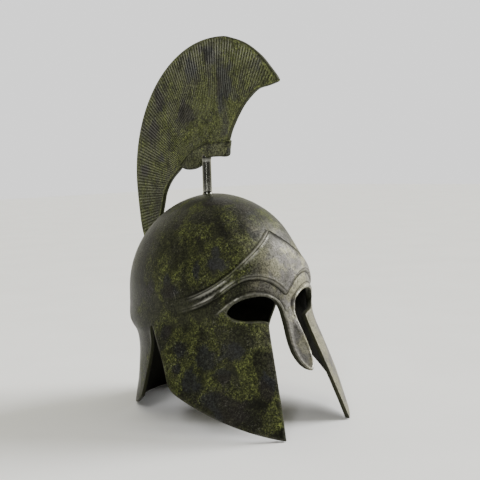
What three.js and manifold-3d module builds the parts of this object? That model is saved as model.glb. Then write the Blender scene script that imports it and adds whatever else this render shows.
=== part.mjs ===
// Bronze helmet with a crest on a post, life size, standing on its cheek tips and neck guard.
// Millimetres, +Z up, the face towards -Y and the middle plane at x = 0.
import * as THREE from 'three';
import { mergeVertices } from 'three/addons/utils/BufferGeometryUtils.js';
import Module from 'manifold-3d';

const wasm = await Module();
wasm.setup();

// Clearance between two pieces that touch, and how far a cutting block runs past what it cuts.
const GAP = 0.3;
const CLEAR = 60;

// The bowl above its widest level: fullness and roundness shape it seen from above and from the side,
// where 2 is an ellipse and more is squarer.
const BOWL = {
  halfWidth: 94.5, front: 112, back: 116.5, rise: 111,
  widest: 134, middleY: -3.8, fullness: 2.2, roundness: 1.95,
};

// Cast wall, measured inwards from the outer face.
const WALL = { side: 4, front: 5.5, back: 4, crown: 4 };

// Cheek guards: the size that the front swells to at the foot, and the corners of one guard.
const CHEEK = {
  halfWidth: 119, reach: 171.5,
  topInner: { x: 27.6, z: 112.8 }, tip: { x: 48.5, y: -160.4 },
  rearCorner: { y: -52, z: 43 }, cornerRound: 7, sag: 3.5,
  cornerBlend: { down: 0.45, along: 0.8, up: 0.9 }, rearBow: { forward: 6, up: 2 },
};

// Neck guard: its front corner, where its hem comes down to the ground, and the notch before it.
const NECK = {
  frontCorner: { y: 31.6, z: 16.4 }, cornerRound: 3, hemDown: 80,
  notchTop: { y: -3.9, z: 106 }, notchRound: 2, frontBow: { back: 10, up: 4 },
};

// Turns, in degrees from the face, between which the front's form gives way to the back's: inside
// the notch, so that the cheek guard stands prouder than the neck guard.
const NOTCH_TURNS = { from: 84, to: 95 };

// Eye openings, and how far each curve round one runs on in its own direction before it turns.
const EYE = { top: { x: 35, z: 140 }, outer: { x: 63, z: 123.8 }, floor: { x: 43, z: 115 } };
const EYE_RUNS = { inner: 17, over: 16, lean: 0.5, down: 9, corner: { x: 2, z: 3 }, under: 12, cheek: 6 };

// Nasal guard: a drop-shaped blade that hangs from the bridge and leans forward by its bulge.
const NASAL = {
  tip: 61.5, half: 12.3, wideLevel: 84, neckHalf: 8.9, neckLevel: 116, bulge: 7, spread: 17, root: 130,
};
// Curve runs of the nasal guard's edge.
const NASAL_RUNS = { tipShare: 0.5, tipRise: 1, tip: 10, blade: 14, waist: 12, neck: 14 };

// The hollow in the nasal guard: its curves' runs, and its neck as a share of the blade's.
const HOLLOW_RUNS = { tip: 12, blade: 12, neck: 14, neckShare: 0.6 };

// Raised work: height of the brow panel, the lip around the face opening and the nasal's hollow.
const RELIEF = { panel: 1.6, lip: 1.1, lipWidth: 4.5, hollow: 1.1, hollowRim: 2.6 };

// Brow panel, one half: its peak, the notch in its lower edge, the arch over the eye, the temple end.
const PANEL = {
  peak: 205, valley: 139.2, shoulder: { x: 38.5, z: 179.5 }, temple: { x: 88, z: 131, half: 7 },
  arch: { x: 37.5, z: 159 }, archEnd: { x: 66.7, z: 144.3 }, archRun: { x: 14, z: 1, inner: 0.52 },
};

// Crest: a flat plume, round about its own centre, over a thicker holder on a round post.
const PLUME = { centreY: -10, centreZ: 263, radius: 158.2, thickness: 5.5 };
const HOLDER = {
  thickness: 9, front: -29, floor: 287, top: 305.2, flatTo: 7, back: 50, backFloor: 273, tail: 58,
};
// Curve runs and slopes of the holder's heel and ends.
const HEEL = { run: 4, length: 12, sag: 3, tailDrop: 4, tailRun: 6, crownRun: 2, frontSlant: 5 };
const POST = { radius: 4.8, y: 8.8, sides: 32 };

// How the front swells from the bowl to the cheek guards: level is a share of the widest level,
// width and reach are shares of the way from the bowl's size to the cheek guards' size.
const FRONT_SECTIONS = [
  { level: 0.00, width: 1.000, reach: 1.000, fullness: 0.0 },
  { level: 0.32, width: 0.902, reach: 0.639, fullness: 0.0 },
  { level: 0.60, width: 0.469, reach: 0.345, fullness: 0.0 },
  { level: 0.79, width: 0.114, reach: 0.156, fullness: 0.0 },
  { level: 0.91, width: 0.008, reach: 0.050, fullness: 0.5 },
  { level: 1.00, width: 0.000, reach: 0.000, fullness: 1.0 },
];

// How the back draws in under the ledge and flares to the hem: shares of the bowl's own size.
const BACK_SECTIONS = [
  { level: 0.00, width: 1.026, reach: 0.936 },
  { level: 0.12, width: 1.016, reach: 0.893 },
  { level: 0.24, width: 1.000, reach: 0.850 },
  { level: 0.37, width: 0.989, reach: 0.824 },
  { level: 0.52, width: 0.979, reach: 0.807 },
  { level: 0.63, width: 0.984, reach: 0.828 },
  { level: 0.69, width: 0.995, reach: 0.876 },
  { level: 0.73, width: 1.010, reach: 0.953 },
  { level: 0.78, width: 1.020, reach: 0.991 },
  { level: 0.90, width: 1.005, reach: 1.000 },
  { level: 1.00, width: 1.000, reach: 1.000 },
];

// Edges of the plume, by turn in degrees about its centre and reach as a share of its radius: the
// front edge from the holder up to the tip, the edge over the tip, the outer edge of the tail and
// its inner edge back up to the holder. Between brow and back the outer edge is a plain arc.
const PLUME_FRONT = [
  { turn: 116.5, reach: 0.350 },
  { turn: 117.4, reach: 0.407 },
  { turn: 119.2, reach: 0.498 },
  { turn: 121.9, reach: 0.604 },
  { turn: 126.8, reach: 0.738 },
  { turn: 132.1, reach: 0.820 },
  { turn: 135.6, reach: 0.893 },
];
const PLUME_BROW = [
  { turn: 135.2, reach: 0.920 },
  { turn: 127.9, reach: 0.934 },
  { turn: 120.2, reach: 0.956 },
  { turn: 109.4, reach: 0.981 },
  { turn: 98.0, reach: 1.000 },
];
const PLUME_BACK = [
  { turn: -14.8, reach: 1.012 },
  { turn: -22.9, reach: 1.036 },
  { turn: -31.5, reach: 1.055 },
];
const PLUME_TAIL = [
  { turn: -32.9, reach: 0.930 },
  { turn: -28.7, reach: 0.829 },
  { turn: -23.8, reach: 0.753 },
  { turn: -18.0, reach: 0.691 },
  { turn: -10.1, reach: 0.628 },
  { turn: -1.8, reach: 0.542 },
  { turn: 7.0, reach: 0.445 },
];
const PLUME_END = { turn: -35.2, reach: 1.010 };

// Mesh fineness: steps round half the shell, bowl rings above the widest level, steps on a curve.
// faceShare sets how close together the steps are at the face: 1 spaces them evenly.
const STEPS = { round: 32, bowl: 11, curve: 7, faceShare: 0.38 };

const EXTRUDE = { bevelEnabled: false, curveSegments: STEPS.curve };

const degrees = THREE.MathUtils.degToRad;

// Value of a table's column at a level, smoothly between its rows.
function column(rows, level, name) {
  const last = rows.length - 1;
  const i = Math.max(0, Math.min(last - 1, rows.findIndex((row) => row.level > level) - 1));
  const from = level >= rows[last].level ? last - 1 : i;
  const [a, b] = [rows[from], rows[from + 1]];
  const share = THREE.MathUtils.clamp((level - a.level) / (b.level - a.level), 0, 1);
  const slope = (j) => {
    const [p, q] = [rows[Math.max(0, j - 1)], rows[Math.min(last, j + 1)]];
    return (q[name] - p[name]) / (q.level - p.level);
  };
  const span = b.level - a.level;
  const [s2, s3] = [share * share, share * share * share];
  return (2 * s3 - 3 * s2 + 1) * a[name] + (s3 - 2 * s2 + share) * span * slope(from)
    + (3 * s2 - 2 * s3) * b[name] + (s3 - s2) * span * slope(from + 1);
}

// Half sizes of the shell's horizontal section at height z, with the outer face moved out by `grow`.
function section(z, grow) {
  if (z >= BOWL.widest) {
    const rise = Math.min(1, (z - BOWL.widest) / (BOWL.rise + grow.crown));
    const shrink = (1 - rise ** BOWL.roundness) ** (1 / BOWL.roundness);
    return {
      frontWidth: (BOWL.halfWidth + grow.side) * shrink, backWidth: (BOWL.halfWidth + grow.side) * shrink,
      front: (BOWL.front + grow.front) * shrink, back: (BOWL.back + grow.back) * shrink,
      fullness: 2 + (BOWL.fullness - 2) * shrink,
    };
  }
  const level = Math.max(0, z / BOWL.widest);
  const swell = (name, bowl, cheek) => bowl + (cheek - bowl) * column(FRONT_SECTIONS, level, name);
  return {
    frontWidth: swell('width', BOWL.halfWidth, CHEEK.halfWidth) + grow.side,
    backWidth: BOWL.halfWidth * column(BACK_SECTIONS, level, 'width') + grow.side,
    front: swell('reach', BOWL.front, CHEEK.reach) + grow.front,
    back: BOWL.back * column(BACK_SECTIONS, level, 'reach') + grow.back,
    fullness: 2 + (BOWL.fullness - 2) * column(FRONT_SECTIONS, level, 'fullness'),
  };
}

// Point of the shell's face at height z and turn (0 at the face, pi at the back).
function facePoint(z, turn, grow) {
  const size = section(z, grow);
  const [across, along] = [Math.abs(Math.sin(turn)), Math.cos(turn)];
  const power = along > 0 ? 2 / size.fullness : 1;
  const [from, to] = [degrees(NOTCH_TURNS.from), degrees(NOTCH_TURNS.to)];
  const toBack = THREE.MathUtils.smoothstep(Math.abs(turn), from, to);
  const width = THREE.MathUtils.lerp(size.frontWidth, size.backWidth, toBack);
  const x = Math.sign(turn) * width * across ** power;
  const reach = along > 0 ? -size.front * along ** power : size.back * -along;
  const lean = along > 0 ? NASAL.bulge * Math.exp(-((x / NASAL.spread) ** 2)) : 0;
  const hang = THREE.MathUtils.clamp((NASAL.root - z) / (NASAL.root - NASAL.tip), 0, 1);
  return [x, BOWL.middleY + reach - lean * hang, z];
}

// Turns of the section's points: close together at the face, wider apart behind.
function sectionTurns() {
  const half = Array.from({ length: STEPS.round + 1 }, (_, i) => {
    const share = i / STEPS.round;
    return Math.PI * (STEPS.faceShare * share + (1 - STEPS.faceShare) * share * share);
  });
  const mirrored = half.slice(1, -1).reverse().map((turn) => -turn);
  return [...half, ...mirrored];
}

// Heights of the rings, from below the hem up to just under the crown.
function ringHeights(grow) {
  const low = [-CLEAR / 10, ...BACK_SECTIONS.map((row) => row.level * BOWL.widest)];
  const high = Array.from({ length: STEPS.bowl - 1 }, (_, i) => {
    const climb = (Math.PI / 2) * ((i + 1) / STEPS.bowl);
    return BOWL.widest + (BOWL.rise + grow.crown) * Math.sin(climb);
  });
  return [...low, ...high];
}

// Solid inside the shell's face moved out by `grow`: rings, a flat foot and a crown point.
function shellBody(grow) {
  const turns = sectionTurns();
  const heights = ringHeights(grow);
  const points = heights.flatMap((z) => turns.map((turn) => facePoint(z, turn, grow))).flat();
  const count = turns.length;
  const foot = heights.length * count;
  const crown = foot + 1;
  points.push(0, BOWL.middleY, heights[0], 0, BOWL.middleY, BOWL.widest + BOWL.rise + grow.crown);
  const faces = [];
  const top = (heights.length - 1) * count;
  for (let i = 0; i < count; i += 1) {
    const next = (i + 1) % count;
    faces.push(foot, next, i, crown, top + i, top + next);
    for (let ring = 0; ring < top; ring += count) {
      const above = ring + count;
      faces.push(ring + i, ring + next, above + next, ring + i, above + next, above + i);
    }
  }
  const geometry = new THREE.BufferGeometry();
  geometry.setAttribute('position', new THREE.Float32BufferAttribute(points, 3));
  geometry.setIndex(faces);
  return solid(geometry);
}

// A closed geometry as a solid that can be joined and cut.
function solid(geometry) {
  const bare = geometry.clone();
  bare.deleteAttribute('normal');
  bare.deleteAttribute('uv');
  const welded = mergeVertices(bare, 1e-4);
  return new wasm.Manifold(new wasm.Mesh({
    numProp: 3,
    vertProperties: new Float32Array(welded.attributes.position.array),
    triVerts: new Uint32Array(welded.index.array),
  }));
}

// The solid as a geometry again, flat shaded.
function geometryOf(body) {
  const mesh = body.getMesh();
  const geometry = new THREE.BufferGeometry();
  geometry.setAttribute('position', new THREE.Float32BufferAttribute(mesh.vertProperties, 3));
  geometry.setIndex(Array.from(mesh.triVerts));
  geometry.computeVertexNormals();
  return geometry;
}

// A side-view outline (y, z) pushed out from x = -half to x = half.
function sidewaysBlock(shape, half) {
  const depth = 2 * half;
  const block = new THREE.ExtrudeGeometry(shape, { ...EXTRUDE, depth });
  const axes = new THREE.Matrix4().makeBasis(
    new THREE.Vector3(0, 1, 0), new THREE.Vector3(0, 0, 1), new THREE.Vector3(1, 0, 0));
  return solid(block.applyMatrix4(axes.setPosition(-half, 0, 0)));
}

// A front-view outline (x, z) pushed forward from inside the bowl to well before the face.
function forwardBlock(shape) {
  const depth = CHEEK.reach + CLEAR;
  const block = new THREE.ExtrudeGeometry(shape, { ...EXTRUDE, depth });
  const axes = new THREE.Matrix4().makeBasis(
    new THREE.Vector3(1, 0, 0), new THREE.Vector3(0, 0, 1), new THREE.Vector3(0, -1, 0));
  return solid(block.applyMatrix4(axes.setPosition(0, BOWL.middleY - 2 * CHEEK.cornerRound, 0)));
}

// A closed symmetric outline from the points of its right half, which starts and ends on the middle.
function mirroredShape(half) {
  const left = half.slice(1, -1).reverse().map((point) => new THREE.Vector2(-point.x, point.y));
  return new THREE.Shape([...half, ...left]);
}

// Right half of the face opening, from the nasal's tip round the eye and down the cheek's edge.
// `grow` moves the outline out into the metal.
function openingHalf(grow) {
  const path = new THREE.Path();
  const blade = NASAL.half - grow;
  const neck = NASAL.neckHalf - grow;
  const top = EYE.top.z + grow;
  const outer = EYE.outer.x + grow;
  const floor = EYE.floor.z - grow;
  const { tipShare, tipRise, tip, blade: bladeRun, waist, neck: neckRun } = NASAL_RUNS;
  path.moveTo(0, NASAL.tip + grow);
  path.bezierCurveTo(blade * tipShare, NASAL.tip + grow + tipRise, blade, NASAL.tip + tip,
    blade, NASAL.wideLevel);
  path.bezierCurveTo(blade, NASAL.wideLevel + bladeRun, neck, NASAL.neckLevel - waist,
    neck, NASAL.neckLevel);
  path.bezierCurveTo(neck, NASAL.neckLevel + neckRun, EYE.top.x - EYE_RUNS.inner, top, EYE.top.x, top);
  path.bezierCurveTo(EYE.top.x + EYE_RUNS.over, top, outer - EYE_RUNS.lean, EYE.outer.z + EYE_RUNS.down,
    outer, EYE.outer.z);
  path.bezierCurveTo(outer - EYE_RUNS.corner.x, floor + EYE_RUNS.corner.z,
    EYE.floor.x + EYE_RUNS.under, floor, EYE.floor.x, floor);
  path.quadraticCurveTo(CHEEK.topInner.x + EYE_RUNS.cheek + grow, floor,
    CHEEK.topInner.x + grow, CHEEK.topInner.z - grow);
  const slant = (CHEEK.tip.x - CHEEK.topInner.x) / CHEEK.topInner.z;
  path.lineTo(CHEEK.tip.x + grow + slant * CLEAR, -CLEAR);
  path.lineTo(0, -CLEAR);
  return path.getPoints(STEPS.curve);
}

// Side view of what is missing under the helmet: below the cheek guards, up the notches and down
// to the hem of the neck guard.
function belowShape() {
  const { tip, rearCorner, cornerRound, cornerBlend, sag, rearBow } = CHEEK;
  const { frontCorner, cornerRound: neckRound, hemDown, notchTop, notchRound, frontBow } = NECK;
  const back = BOWL.middleY + BOWL.back;
  const shape = new THREE.Shape();
  shape.moveTo(tip.y - CLEAR, -CLEAR);
  shape.lineTo(tip.y - CLEAR, 0);
  shape.lineTo(tip.y, 0);
  shape.quadraticCurveTo((tip.y + rearCorner.y) / 2, rearCorner.z / 2 - sag,
    rearCorner.y - cornerRound, rearCorner.z - cornerRound * cornerBlend.down);
  shape.quadraticCurveTo(rearCorner.y, rearCorner.z,
    rearCorner.y + cornerRound * cornerBlend.along, rearCorner.z + cornerRound * cornerBlend.up);
  shape.quadraticCurveTo((rearCorner.y + notchTop.y) / 2 - rearBow.forward,
    (rearCorner.z + notchTop.z) / 2 + rearBow.up, notchTop.y - notchRound, notchTop.z - notchRound);
  shape.quadraticCurveTo(notchTop.y, notchTop.z + notchRound / 2,
    notchTop.y + notchRound / 2, notchTop.z - notchRound);
  shape.quadraticCurveTo(notchTop.y + frontBow.back, (notchTop.z + frontCorner.z) / 2 + frontBow.up,
    frontCorner.y - neckRound / 2, frontCorner.z + neckRound / 2);
  shape.quadraticCurveTo(frontCorner.y, frontCorner.z,
    frontCorner.y + neckRound, frontCorner.z - neckRound / 2);
  shape.quadraticCurveTo((frontCorner.y + hemDown) / 2, 0, hemDown, 0);
  shape.lineTo(back + CLEAR, 0);
  shape.lineTo(back + CLEAR, -CLEAR);
  return shape;
}

// Front view of the brow panel: a peak, two shoulders, a temple end on each side and an arch over
// each eye that meets the other in a notch at the middle.
function panelShape() {
  const { peak, valley, shoulder, temple, arch, archEnd, archRun } = PANEL;
  const path = new THREE.Path();
  path.moveTo(0, peak);
  path.lineTo(shoulder.x, shoulder.z);
  path.quadraticCurveTo((shoulder.x + temple.x) / 2, (shoulder.z + temple.z) / 2,
    temple.x, temple.z + temple.half);
  path.lineTo(temple.x, temple.z - temple.half);
  path.quadraticCurveTo((temple.x + archEnd.x) / 2, archEnd.z - temple.half, archEnd.x, archEnd.z);
  path.quadraticCurveTo(arch.x + archRun.x, arch.z + archRun.z, arch.x, arch.z);
  path.quadraticCurveTo(arch.x * archRun.inner, arch.z + archRun.z, 0, valley);
  return mirroredShape(path.getPoints(STEPS.curve));
}

// Front view of one cheek's area below the eye, where the opening has no lip: side is 1 or -1.
function cheekShape(side) {
  const [inner, outer] = [NASAL.half + RELIEF.lipWidth, CHEEK.halfWidth + CLEAR];
  const top = EYE.outer.z - RELIEF.lipWidth;
  const corners = [[inner, -CLEAR], [outer, -CLEAR], [outer, top], [inner, top]];
  return new THREE.Shape(corners.map(([x, z]) => new THREE.Vector2(side * x, z)));
}

// Front view of the hollow in the nasal guard, inside its rim.
function hollowShape() {
  const half = NASAL.half - RELIEF.hollowRim;
  const neck = (NASAL.neckHalf - RELIEF.hollowRim) * HOLLOW_RUNS.neckShare;
  const tip = NASAL.tip + RELIEF.hollowRim;
  const path = new THREE.Path();
  path.moveTo(0, tip);
  path.bezierCurveTo(half * NASAL_RUNS.tipShare, tip + NASAL_RUNS.tipRise,
    half, NASAL.tip + HOLLOW_RUNS.tip, half, NASAL.wideLevel);
  path.bezierCurveTo(half, NASAL.wideLevel + HOLLOW_RUNS.blade, neck, NASAL.neckLevel - HOLLOW_RUNS.neck,
    0, NASAL.neckLevel);
  return mirroredShape(path.getPoints(STEPS.curve));
}

// The same distance out on every side.
const outBy = (distance) => ({ side: distance, front: distance, back: distance, crown: distance });

// Bowl, cheek guards, neck guard and nasal guard, cast in one.
function helmetShell() {
  const face = shellBody(outBy(0));
  const panel = shellBody(outBy(RELIEF.panel)).intersect(forwardBlock(panelShape()));
  const lipBlock = forwardBlock(mirroredShape(openingHalf(RELIEF.lipWidth)));
  const cheeks = forwardBlock(cheekShape(1)).add(forwardBlock(cheekShape(-1)));
  const lip = shellBody(outBy(RELIEF.lip)).intersect(lipBlock.subtract(cheeks));
  const hollow = forwardBlock(hollowShape()).subtract(shellBody(outBy(-RELIEF.hollow)));
  const inside = shellBody({ side: -WALL.side, front: -WALL.front, back: -WALL.back, crown: -WALL.crown });
  const opening = forwardBlock(mirroredShape(openingHalf(0)));
  const below = sidewaysBlock(belowShape(), CHEEK.halfWidth + CLEAR);
  return face.add(lip).add(panel).subtract(hollow).subtract(inside).subtract(opening).subtract(below);
}

// Side-view point of the crest at a turn about the plume's centre and a share of its radius.
function crestPoint({ turn, reach }) {
  const angle = degrees(turn);
  return new THREE.Vector2(
    PLUME.centreY + PLUME.radius * reach * Math.cos(angle),
    PLUME.centreZ + PLUME.radius * reach * Math.sin(angle));
}

// Side view of the holder, wider by `grow`: flat under the front, dropping to a low heel behind.
function holderShape(grow) {
  const { front, floor, top, flatTo, back, backFloor, tail } = HOLDER;
  const heel = (back + flatTo) / 2;
  const low = backFloor - grow;
  const shape = new THREE.Shape();
  shape.moveTo(front - grow, floor - grow);
  shape.lineTo(flatTo, floor - grow);
  shape.bezierCurveTo(heel - HEEL.run, floor - HEEL.sag - grow, heel + HEEL.run, low,
    heel + HEEL.length, low);
  shape.lineTo(back, low);
  shape.lineTo(tail + grow, low - HEEL.tailDrop);
  shape.bezierCurveTo(back - HEEL.tailRun, backFloor + HEEL.tailRun + grow,
    heel + HEEL.crownRun, top + grow, flatTo - HEEL.crownRun, top + grow);
  shape.lineTo(front - HEEL.frontSlant - grow, top + grow);
  return shape;
}

// Side view of the plume, down into the holder's outline, which is then cut out of it.
function plumeShape() {
  const shape = new THREE.Shape();
  const [start, ...front] = PLUME_FRONT.map(crestPoint);
  const brow = PLUME_BROW.map(crestPoint);
  const back = PLUME_BACK.map(crestPoint);
  const [tailFrom, ...tail] = PLUME_TAIL.map(crestPoint);
  const end = crestPoint(PLUME_END);
  const arcFrom = degrees(PLUME_BROW[PLUME_BROW.length - 1].turn);
  const arcTo = degrees(PLUME_BACK[0].turn / 2);
  shape.moveTo(start.x, start.y);
  shape.splineThru(front);
  shape.splineThru(brow);
  shape.absarc(PLUME.centreY, PLUME.centreZ, PLUME.radius, arcFrom, arcTo, true);
  shape.splineThru(back);
  shape.quadraticCurveTo(end.x, end.y, tailFrom.x, tailFrom.y);
  shape.splineThru(tail);
  shape.lineTo(HOLDER.back, HOLDER.backFloor + 10 * GAP);
  shape.lineTo(HOLDER.flatTo, (HOLDER.floor + HOLDER.top) / 2);
  shape.lineTo(HOLDER.front - 10 * GAP, HOLDER.top - 10 * GAP);
  return shape;
}

function crestHolder() {
  return sidewaysBlock(holderShape(0), HOLDER.thickness / 2);
}

function crestPlume() {
  const plate = sidewaysBlock(plumeShape(), PLUME.thickness / 2);
  return plate.subtract(sidewaysBlock(holderShape(GAP), HOLDER.thickness));
}

// Round post from the bowl's crown to the underside of the holder.
function crestPost() {
  const [from, to] = [BOWL.widest, (HOLDER.floor + HOLDER.top) / 2];
  const rod = new THREE.CylinderGeometry(POST.radius, POST.radius, to - from, POST.sides);
  rod.rotateX(Math.PI / 2).translate(0, POST.y, (from + to) / 2);
  const slot = sidewaysBlock(holderShape(GAP), HOLDER.thickness);
  return solid(rod).subtract(shellBody(outBy(GAP))).subtract(slot);
}

const MATERIALS = {
  bronze: { color: 0x4a4a33, roughness: 0.55, metalness: 0.85 },
  polished: { color: 0x8c8a80, roughness: 0.2, metalness: 1 },
};

// A named mesh with a material of its own.
function piece(name, body, look) {
  const mesh = new THREE.Mesh(geometryOf(body), new THREE.MeshStandardMaterial(MATERIALS[look]));
  mesh.name = name;
  return mesh;
}

// Moves the finished model so that its origin is under the middle of its box, on the ground.
function centred(group) {
  const box = new THREE.Box3().setFromObject(group);
  const middle = box.getCenter(new THREE.Vector3());
  group.children.forEach((mesh) => mesh.geometry.translate(-middle.x, -middle.y, -box.min.z));
  return group;
}

const helmet = new THREE.Group();
helmet.name = 'greek_bronze_helmet';
helmet.add(
  piece('helmet_shell', helmetShell(), 'bronze'),
  piece('crest_post', crestPost(), 'polished'),
  piece('crest_holder', crestHolder(), 'bronze'),
  piece('crest_plume', crestPlume(), 'bronze'),
);

export default centred(helmet);
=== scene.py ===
import itertools
import math

import bmesh
import bpy
import numpy as np
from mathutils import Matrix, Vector
from mathutils.geometry import delaunay_2d_cdt


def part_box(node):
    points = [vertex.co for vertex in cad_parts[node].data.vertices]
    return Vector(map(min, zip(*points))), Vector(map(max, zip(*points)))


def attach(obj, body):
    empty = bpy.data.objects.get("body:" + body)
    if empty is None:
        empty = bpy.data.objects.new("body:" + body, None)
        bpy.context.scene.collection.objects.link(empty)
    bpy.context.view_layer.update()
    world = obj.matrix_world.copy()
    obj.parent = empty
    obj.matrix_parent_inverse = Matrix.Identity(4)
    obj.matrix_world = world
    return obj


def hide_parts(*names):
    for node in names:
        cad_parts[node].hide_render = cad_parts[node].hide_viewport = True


METRE = 0.001

# Bowl, wall, cheek guards and neck guard, as in the solids.
BOWL = {"half_width": 94.5, "front": 112.0, "back": 116.5, "rise": 111.0, "widest": 134.0,
        "middle_y": -3.8, "fullness": 2.2, "roundness": 1.95}
WALL = {"side": -4.0, "front": -5.5, "back": -4.0, "crown": -4.0}
FACE = {"side": 0.0, "front": 0.0, "back": 0.0, "crown": 0.0}
CHEEK = {"half_width": 119.0, "reach": 171.5, "inner_x": 27.6, "inner_z": 112.8, "tip_x": 48.5,
         "tip_y": -160.4, "rear_y": -52.0, "rear_z": 43.0, "round": 7.0, "sag": 3.5}
NECK = {"corner_y": 31.6, "corner_z": 16.4, "round": 3.0, "hem_from": 80.0, "notch_y": -3.9,
        "notch_z": 106.0, "notch_round": 2.0}
NOTCH_TURNS = (84.0, 95.0)
EYE = {"top_x": 35.0, "top_z": 140.0, "outer_x": 63.0, "outer_z": 123.8, "floor_x": 43.0,
       "floor_z": 115.0}
NASAL = {"tip": 61.5, "half": 12.3, "wide_z": 84.0, "neck_half": 8.9, "neck_z": 116.0,
         "bulge": 7.0, "spread": 17.0, "root": 130.0, "thicker": 2.0}
PANEL = {"peak": 205.0, "valley": 139.2, "shoulder": (38.5, 179.5), "temple_x": 92.0,
         "temple_top": 134.5, "temple_foot": 121.0, "arch": (37.5, 159.0),
         "arch_end": (66.7, 144.3)}
LIP_LINE = [(6.6, 112), (6.8, 122.8), (9.6, 131.5), (15.8, 136.5), (24.9, 141.6), (35.9, 144.5),
            (45.8, 144), (52.7, 142), (62.1, 135.6), (67.9, 128.6), (72.5, 122.2)]
LIP_FOOT = [(66, 116), (40, 112), (27, 108), (12, 100)]

# The skin settles a little from the solid: inwards over the brow, outwards beside the eyes. Each
# row is across, height, spread across, spread up and the move in millimetres.
SETTLE = [(66, 190, 26, 20, -2.6), (74, 124, 12, 15, 2.8)]

# Share tables: level is a share of the widest level.
FRONT_SECTIONS = {"level": [0, .32, .60, .79, .91, 1], "width": [1, .902, .469, .114, .008, 0],
                  "reach": [1, .639, .345, .156, .05, 0], "fullness": [0, 0, 0, 0, .5, 1]}
BACK_SECTIONS = {"level": [0, .12, .24, .37, .52, .63, .69, .73, .78, .90, 1],
                 "width": [1.026, 1.016, 1, .989, .979, .984, .995, 1.01, 1.02, 1.005, 1],
                 "reach": [.936, .893, .85, .824, .807, .828, .876, .953, .991, 1, 1]}

# Raised work, in millimetres: how high or deep each form is.
RELIEF = {"panel": 2.2, "moat": 0.9, "groove": 0.55, "bead": 0.35, "lip": 1.0, "lip_bead": 0.6,
          "lip_moat": 0.5, "dish": 2.0, "rim": 0.9}
# Each line of it: how far inside its outline it lies, and its half width.
LINES = {"moat": (-1.7, 0.9), "groove": (1.6, 0.6), "bead": (2.9, 0.7), "lip_bead": (1.4, 0.9),
         "lip_moat": (-1.3, 0.9), "rim": (1.4, 1.1)}
# Each slope: where it starts and where it is full, inside its outline.
SLOPES = {"panel": (-0.7, 0.7), "lip": (-0.6, 0.8), "dish": (-0.2, 4.2)}
DISH_RIM = 2.2
# Where a form, a polish, a painted highlight or painted shade fades in, from the first value to the
# second: "settle" by the way back, "temple", "lip_end", "left", "corner" and both glint streaks across,
# the others upwards.
FADES = {"temple": (80, 91), "lip": (119, 125), "lip_end": (73, 60), "blade": (118, 104),
         "high": (165, 178), "left": (-4, 6), "glint_streak": (52, 64), "glint_streak_end": (84, 76),
         "corner": (46, 56), "settle": (5, -25), "nose": (128, 110),
         "under": (291, 286)}
TEMPLE_TOP = 160
# Painted highlight: the glint streaks at the temples stay below this height.
GLINT_STREAK_TOP = 158
# Rows of mesh points along each outline, by their distance from it.
PANEL_ROWS = (-1.7, -0.7, 0, 0.7, 1.6, 2.3, 2.9, 3.6)
LIP_ROWS = (-1.3, -0.6, 0, 0.8, 1.5, 2.4)
DISH_ROWS = (-1.2, 0, 1.0, 2.2)

# Patches of patina on the right half of the shell: turn from the face in degrees, height,
# width and tallness in millimetres. The left half wears the same patches, turned and lowered.
GREEN_PATCHES = [(75, 118, 12, 9), (84, 105, 5, 8), (66, 102, 7, 6), (56, 99, 10, 10),
                 (42, 93, 15, 17), (55, 75, 15, 11), (43, 76, 11, 12), (46, 57, 15, 15),
                 (20, 106, 18, 8), (19, 94, 9, 14), (27, 72, 10, 14), (26, 57, 12, 12),
                 (32, 43, 10, 9), (21, 23, 10, 8), (49, 40, 8, 5), (63, 50, 5, 10),
                 (84, 165, 15, 12), (85, 150, 6, 10), (72, 164, 10, 8), (71, 212, 8, 12),
                 (52, 206, 10, 6), (39, 190, 8, 9), (50, 172, 4, 10), (58, 165, 4, 10),
                 (4, 222, 12, 11), (19, 182, 8, 12), (35, 162, 7, 4), (26, 172, 11, 7),
                 (47, 188, 3, 11), (27, 221, 10, 8), (59, 212, 10, 6)]
DUSK_PATCHES = [(62, 87, 10, 12), (48, 79, 9, 10), (56, 54, 11, 12), (63, 67, 6, 6),
                (38, 63, 7, 6), (32, 87, 11, 10), (35, 28, 15, 11), (44, 38, 11, 8),
                (75, 103, 8, 8), (20, 50, 9, 11), (54, 200, 5, 7), (41, 187, 4, 6),
                (40, 174, 10, 6), (54, 169, 5, 11), (82, 211, 9, 9), (76, 156, 5, 8),
                (92, 143, 6, 8), (73, 145, 12, 6), (33, 238, 15, 4), (3, 228, 10, 5),
                (13, 204, 8, 8)]
BLACK_PATCHES = [(29, 98, 22, 10), (22, 76, 8, 12), (28, 34, 12, 10), (60, 132, 26, 9),
                 (88, 128, 16, 8)]
FAR_SIDE = {"turn": 11, "lower": 8}

# Patches on the plume: back from the middle, height, length and tallness.
PLUME_GREEN = [(0, 334, 19, 20), (21, 313, 22, 7), (-95, 373, 14, 9), (-60, 342, 6, 15),
               (-70, 397, 13, 8), (13, 356, 10, 18), (-42, 338, 8, 12), (60, 290, 12, 6)]
PLUME_DUSK = [(-34, 367, 14, 21), (26, 394, 13, 18), (44, 333, 13, 18), (90, 362, 8, 18),
              (104, 324, 8, 10), (131, 271, 8, 8), (90, 287, 6, 8), (-5, 400, 8, 9)]

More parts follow.
